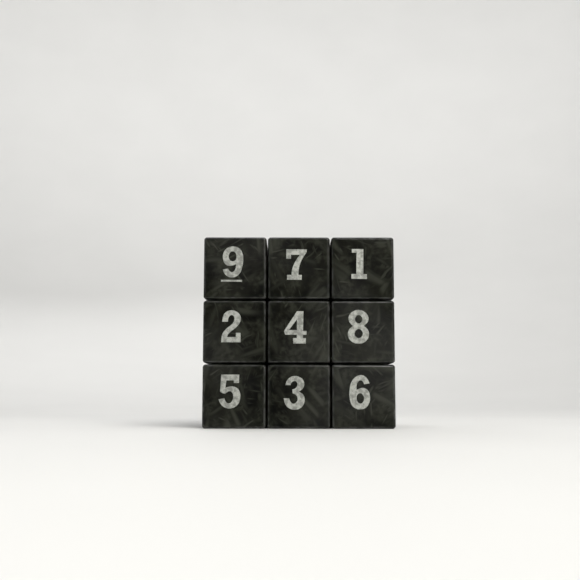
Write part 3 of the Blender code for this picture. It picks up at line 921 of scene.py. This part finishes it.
def finish(slot):
    """The finish of a slot, made when it is first asked for."""
    maker = FINISHES[slot]
    if maker.__name__ in bpy.data.materials:
        return bpy.data.materials[maker.__name__]
    return maker(bpy.context.scene.cube_colours)


# Pieces

NUMERAL_WELD = 0.001 * MM
NUMERAL_CREASE = math.radians(40)


def turned_by(turns):
    """Degrees about X, Y and Z as radians."""
    return tuple(math.radians(turn) for turn in turns)


def from_core(node):
    """A CAD node's lowest and highest corners, from the middle of the core."""
    low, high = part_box(node)
    return low - CORE, high - CORE


def made_by_tree(name, tree, values, start=None):
    """A plain mesh at the origin, made by a geometry tree."""
    maker = bpy.data.objects.new(f"{name}.maker", start or bpy.data.meshes.new(f"{name}.maker"))
    bpy.context.scene.collection.objects.link(maker)
    modifier = maker.modifiers.new(tree.name, "NODES")
    modifier.node_group = tree
    for item in tree.interface.items_tree:
        if item.in_out == "INPUT" and item.name in values:
            modifier[item.identifier] = values[item.name]
    weighted = maker.modifiers.new("flat faces", "WEIGHTED_NORMAL")
    weighted.keep_sharp = True
    depsgraph = bpy.context.evaluated_depsgraph_get()
    mesh = bpy.data.meshes.new_from_object(maker.evaluated_get(depsgraph))
    bpy.data.objects.remove(maker)
    if not mesh.polygons:
        raise RuntimeError(f"{name} came out empty")
    mesh.name = name
    piece = bpy.data.objects.new(name, mesh)
    bpy.context.scene.collection.objects.link(piece)
    return piece


def settle(piece, body, node=None):
    """Ride a piece on its body, and let it stand for a CAD node."""
    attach(piece, body)
    if node:
        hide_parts(node)


def make_all(kind, tree, values, places, body, node):
    """Make a piece at each of its places. In the body's name, {} stands for the place."""
    for place, turns in places.items():
        piece = made_by_tree(f"{kind}_{place}", tree, values | {"Turn": turned_by(turns)})
        settle(piece, body.format(place), f"{node}_{place}")


def block_values(sizes):
    """Values that every cubie shares."""
    return {
        "Rounding": sizes.rounding,
        "Round Steps": sizes.round_steps,
        "Ball Hollow": sizes.ball_hollow,
        "Ball Sides": sizes.ball_sides,
        "Core": CORE,
        "Material": finish("tile_plastic"),
    }


def numeral_outline(digit, sizes):
    """A thin mesh of one numeral, flat on a tile whose middle is the origin."""
    curve = bpy.data.curves.new(f"numeral_{digit}", "CURVE")
    curve.dimensions = "2D"
    curve.fill_mode = "BOTH"
    curve.resolution_u = sizes.curve_steps
    curve.extrude = (sizes.proud + sizes.sunk) / 2
    curve.offset = -sizes.thinning
    for contour in NUMERAL_OUTLINES[digit]:
        spline = curve.splines.new("BEZIER")
        spline.bezier_points.add(len(contour) - 1)
        spline.use_cyclic_u = True
        for point, knot in zip(spline.bezier_points, contour):
            point.co = (knot[0] * MM, knot[1] * MM, 0)
            handle = "VECTOR" if SHARP in knot[2:] else "AUTO"
            point.handle_left_type = handle
            point.handle_right_type = handle
    drawn = bpy.data.objects.new(curve.name, curve)
    bpy.context.scene.collection.objects.link(drawn)
    depsgraph = bpy.context.evaluated_depsgraph_get()
    mesh = bpy.data.meshes.new_from_object(drawn.evaluated_get(depsgraph))
    bpy.data.objects.remove(drawn)
    mesh.transform(Matrix.Translation((0, 0, (sizes.proud - sizes.sunk) / 2)))
    bm = bmesh.new()
    bm.from_mesh(mesh)
    bmesh.ops.remove_doubles(bm, verts=bm.verts, dist=NUMERAL_WELD)
    bmesh.ops.recalc_face_normals(bm, faces=bm.faces)
    bm.to_mesh(mesh)
    bm.free()
    mesh.shade_smooth()
    mesh.set_sharp_from_angle(angle=NUMERAL_CREASE)
    return bpy.data.objects.new(f"numeral_{digit}", mesh)


def facelets(place):
    """A mesh of one point for each facelet of a cubie, with its turn and its numeral."""
    faces = place.split("_")
    middle = sum((Vector(FACE_AXES[face][2]) for face in faces), Vector())
    points = []
    turns = []
    numerals = []
    for face in faces:
        right, up, outward = (Vector(axis) for axis in FACE_AXES[face])
        column = round(middle.dot(right))
        row = round(middle.dot(up))
        points.append(CORE + outward * CUBE_EDGE / 2 + (right * column + up * row) * PITCH)
        turns.extend(Matrix((right, up, outward)).transposed().to_euler())
        numerals.append(int(FACE_NUMERALS[face][1 - row][1 + column]) - 1)
    mesh = bpy.data.meshes.new(f"facelets_{place}")
    mesh.from_pydata(points, [], [])
    mesh.attributes.new("facelet_turn", "FLOAT_VECTOR", "POINT").data.foreach_set("vector", turns)
    mesh.attributes.new("facelet_numeral", "INT", "POINT").data.foreach_set("value", numerals)
    return mesh


class SUDOKU_OT_edges(bpy.types.Operator):
    """Make the twelve edge cubies"""

    bl_idname = "sudoku_cube.edges"
    bl_label = "Edges"

    def execute(self, context):
        """Make each edge in its place."""
        sizes = context.scene.cubie_sizes
        low, high = from_core("edge_up_back")
        inner = from_core("corner_up_back_right")[0].y
        foot = low.y
        neck = inner + sizes.neck_step
        neck_side = sizes.foot_side - sizes.neck_step
        reach = sizes.ball_hollow
        inside = high.x - sizes.wall
        floor = sizes.ball_hollow + sizes.wall
        roof = high.y - sizes.wall
        mouth = inner - sizes.wall
        values = block_values(sizes) | {
            "Block Low": (low.x, inner, inner),
            "Block High": high,
            "Back Pocket Low": (-inside, floor, mouth),
            "Back Pocket High": (inside, roof, roof),
            "Top Pocket Low": (-inside, mouth, floor),
            "Top Pocket High": (inside, roof, roof),
            "Foot Low": (-sizes.foot_side, foot, foot),
            "Foot High": (sizes.foot_side, reach, reach),
            "Neck Low": (-neck_side, neck, neck),
            "Neck High": (neck_side, reach, reach),
            "Foot Outside": sizes.foot_outside,
            "Foot Inside": sizes.foot_inside,
        }
        make_all("edge_cubie", edge_tree(), values, EDGE_PLACES, "{}_edge", "edge")
        return {"FINISHED"}


class SUDOKU_OT_corners(bpy.types.Operator):
    """Make the eight corner cubies"""

    bl_idname = "sudoku_cube.corners"
    bl_label = "Corners"

    def execute(self, context):
        """Make each corner in its place."""
        sizes = context.scene.cubie_sizes
        low, high = from_core("corner_up_back_right")
        lean = Vector((0, 0, 1)).rotation_difference(Vector((1, 1, 1))).to_euler()
        wall = Vector((sizes.wall, sizes.wall, sizes.wall))
        values = block_values(sizes) | {
            "Block Low": low,
            "Block High": high,
            "Cavity Low": low + wall,
            "Cavity High": high - wall,
            "Cavity Floor": sizes.ball_hollow + sizes.corner_floor,
            "Stalk Hole": sizes.stalk_hole,
            "Stalk Top": sizes.stalk_top,
            "Stalk Turn": tuple(lean),
        }
        make_all("corner_cubie", corner_tree(), values, CORNER_PLACES, "{}_corner", "corner")
        return {"FINISHED"}


class SUDOKU_OT_centre_tiles(bpy.types.Operator):
    """Make the six centre tiles"""

    bl_idname = "sudoku_cube.centre_tiles"
    bl_label = "Centre tiles"

    def execute(self, context):
        """Make each centre tile in its place."""
        sizes = context.scene.cubie_sizes
        low, high = from_core("centre_cap_up")
        underside = high.z - sizes.cap_thickness
        buried = high.z - sizes.cap_thickness / 2
        outside = sizes.plug_outside
        inside = sizes.plug_outside - sizes.plug_wall
        values = block_values(sizes) | {
            "Block Low": (low.x, low.y, underside),
            "Block High": high,
            "Plug Low": (-outside, -outside, low.z),
            "Plug High": (outside, outside, buried),
            "Space Low": (-inside, -inside, low.z - sizes.plug_wall),
            "Space High": (inside, inside, buried + sizes.plug_wall),
        }
        make_all("centre_tile", cap_tree(), values, CENTRE_PLACES, "{}_centre", "centre_cap")
        return {"FINISHED"}


class SUDOKU_OT_numerals(bpy.types.Operator):
    """Make the numerals of all the tiles"""

    bl_idname = "sudoku_cube.numerals"
    bl_label = "Numerals"

    def execute(self, context):
        """Make the numerals of each cubie as one piece."""
        sizes = context.scene.numeral_sizes
        tree = numeral_tree()
        stock = bpy.data.collections.new("numeral_stock")
        for digit in NUMERAL_OUTLINES:
            stock.objects.link(numeral_outline(digit, sizes))
        values = {"Numerals": stock, "Material": finish("numeral_foil")}
        kinds = {"centre": CENTRE_PLACES, "edge": EDGE_PLACES, "corner": CORNER_PLACES}
        for kind, places in kinds.items():
            for place in places:
                piece = made_by_tree(f"numerals_{place}", tree, values, facelets(place))
                settle(piece, f"{place}_{kind}")
        for outline in list(stock.objects):
            bpy.data.objects.remove(outline)
        bpy.data.collections.remove(stock)
        return {"FINISHED"}


class SUDOKU_OT_springs(bpy.types.Operator):
    """Make the six coil springs"""

    bl_idname = "sudoku_cube.springs"
    bl_label = "Springs"

    def execute(self, context):
        """Make each spring round its screw."""
        sizes = context.scene.spring_sizes
        low, high = from_core("spring_up")
        values = {
            "Coil Radius": (high.x - low.x) / 2 - sizes.wire_radius,
            "Wire Radius": sizes.wire_radius,
            "Low": low.z + sizes.wire_radius,
            "Rise": high.z - low.z - 2 * sizes.wire_radius,
            "Turns": sizes.turns,
            "Turn Steps": sizes.turn_steps,
            "Wire Sides": sizes.wire_sides,
            "Core": CORE,
            "Material": finish("spring_steel"),
        }
        make_all("coil_spring", spring_tree(), values, CENTRE_PLACES, "core", "spring")
        return {"FINISHED"}


class SUDOKU_OT_mechanism(bpy.types.Operator):
    """Finish the parts of the mechanism that the frame carries"""

    bl_idname = "sudoku_cube.mechanism"
    bl_label = "Mechanism"

    def execute(self, context):
        """Give each carried-over part its finish."""
        for name, node in frame["nodes"].items():
            for kind, slot in CAD_FINISHES.items():
                if name.startswith(kind):
                    node.data.materials.clear()
                    node.data.materials.append(finish(slot))
        return {"FINISHED"}


class SUDOKU_OT_stage(bpy.types.Operator):
    """Set the floor, the lights and the camera"""

    bl_idname = "sudoku_cube.stage"
    bl_label = "Stage"

    def execute(self, context):
        """Set up everything round the cube."""
        scene = context.scene
        make_floor(scene.stage_sizes, scene.cube_colours)
        make_lights(scene.stage_sizes, scene.cube_colours)
        make_camera(scene.stage_sizes)
        scene.view_settings.view_transform = "Standard"
        return {"FINISHED"}


def make_floor(sizes, colours):
    """A round floor that sweeps up into a wall on every side."""
    sides = sizes.floor_sides
    profile = [(sizes.floor_radius, 0.0)]
    for step in range(1, sizes.sweep_steps + 1):
        angle = math.pi / 2 * step / sizes.sweep_steps
        out = sizes.floor_radius + sizes.floor_sweep * math.sin(angle)
        profile.append((out, sizes.floor_sweep * (1 - math.cos(angle))))
    profile.append((profile[-1][0], profile[-1][1] + sizes.wall_height))
    points = [(0, 0, -sizes.floor_drop)]
    for radius, height in profile:
        for side in range(sides):
            angle = 2 * math.pi * side / sides
            points.append((radius * math.cos(angle), radius * math.sin(angle), height - sizes.floor_drop))
    faces = [(0, 1 + side, 1 + (side + 1) % sides) for side in range(sides)]
    for ring in range(len(profile) - 1):
        start = 1 + ring * sides
        for side in range(sides):
            after = (side + 1) % sides
            faces.append((start + side, start + sides + side, start + sides + after, start + after))
    mesh = bpy.data.meshes.new("floor")
    mesh.from_pydata(points, [], faces)
    mesh.shade_smooth()
    mesh.materials.append(pale_floor(colours))
    floor = bpy.data.objects.new("floor", mesh)
    bpy.context.scene.collection.objects.link(floor)


def make_lights(sizes, colours):
    """Softboxes and pale light from all round."""
    for name, (place, aim, span, power, colour) in SOFTBOXES.items():
        light = bpy.data.lights.new(name, "AREA")
        light.shape = "RECTANGLE"
        light.size, light.size_y = span
        light.energy = power
        light.color = colour
        lamp = bpy.data.objects.new(name, light)
        lamp.location = place
        lamp.rotation_euler = (Vector(aim) - Vector(place)).to_track_quat("-Z", "Y").to_euler()
        bpy.context.scene.collection.objects.link(lamp)
    world = bpy.data.worlds.new("surroundings")
    world.use_nodes = True
    background = world.node_tree.nodes["Background"]
    background.inputs["Color"].default_value = (*colours.sky, 1.0)
    background.inputs["Strength"].default_value = sizes.sky_strength
    bpy.context.scene.world = world


def make_camera(sizes):
    """The camera, looking slightly up at the front face."""
    camera = bpy.data.cameras.new("camera")
    camera.lens = sizes.lens
    camera.sensor_width = sizes.sensor
    camera.clip_start = sizes.clip_start
    holder = bpy.data.objects.new("camera", camera)
    upright = Euler((math.pi / 2 + sizes.camera_pitch, 0, 0)).to_matrix()
    rolled = upright @ Euler((0, 0, sizes.camera_roll)).to_matrix()
    holder.matrix_world = Matrix.Translation(sizes.camera_place) @ rolled.to_4x4()
    bpy.context.scene.collection.objects.link(holder)
    bpy.context.scene.camera = holder


class SUDOKU_PT_cube(bpy.types.Panel):
    """Makes the sudoku cube piece by piece"""

    bl_idname = "SUDOKU_PT_cube"
    bl_label = "Sudoku cube"
    bl_space_type = "VIEW_3D"
    bl_region_type = "UI"
    bl_category = "Sudoku cube"

    def draw(self, context):
        """List the operators and the sizes."""
        for operator in OPERATORS:
            self.layout.operator(operator.bl_idname)
        for group in SCENE_GROUPS:
            column = self.layout.column(heading=group)
            settings = getattr(context.scene, group)
            for name in settings.__annotations__:
                column.prop(settings, name)


OPERATORS = (
    SUDOKU_OT_stage,
    SUDOKU_OT_edges,
    SUDOKU_OT_corners,
    SUDOKU_OT_centre_tiles,
    SUDOKU_OT_numerals,
    SUDOKU_OT_springs,
    SUDOKU_OT_mechanism,
)
SCENE_GROUPS = {
    "cubie_sizes": CubieSizes,
    "numeral_sizes": NumeralSizes,
    "spring_sizes": SpringSizes,
    "cube_colours": FinishColours,
    "stage_sizes": StageSizes,
}


def register():
    """Add the classes and the scene's settings."""
    for group in (*SCENE_GROUPS.values(), *OPERATORS, SUDOKU_PT_cube):
        bpy.utils.register_class(group)
    for name, group in SCENE_GROUPS.items():
        setattr(bpy.types.Scene, name, bpy.props.PointerProperty(type=group))


def unregister():
    """Take away what register added."""
    for name in SCENE_GROUPS:
        delattr(bpy.types.Scene, name)
    for group in reversed((*SCENE_GROUPS.values(), *OPERATORS, SUDOKU_PT_cube)):
        bpy.utils.unregister_class(group)


def main():
    """Make the cube and its stage."""
    register()
    bpy.ops.sudoku_cube.stage()
    bpy.ops.sudoku_cube.edges()
    bpy.ops.sudoku_cube.corners()
    bpy.ops.sudoku_cube.centre_tiles()
    bpy.ops.sudoku_cube.numerals()
    bpy.ops.sudoku_cube.springs()
    bpy.ops.sudoku_cube.mechanism()


if __name__ == "__main__":
    main()
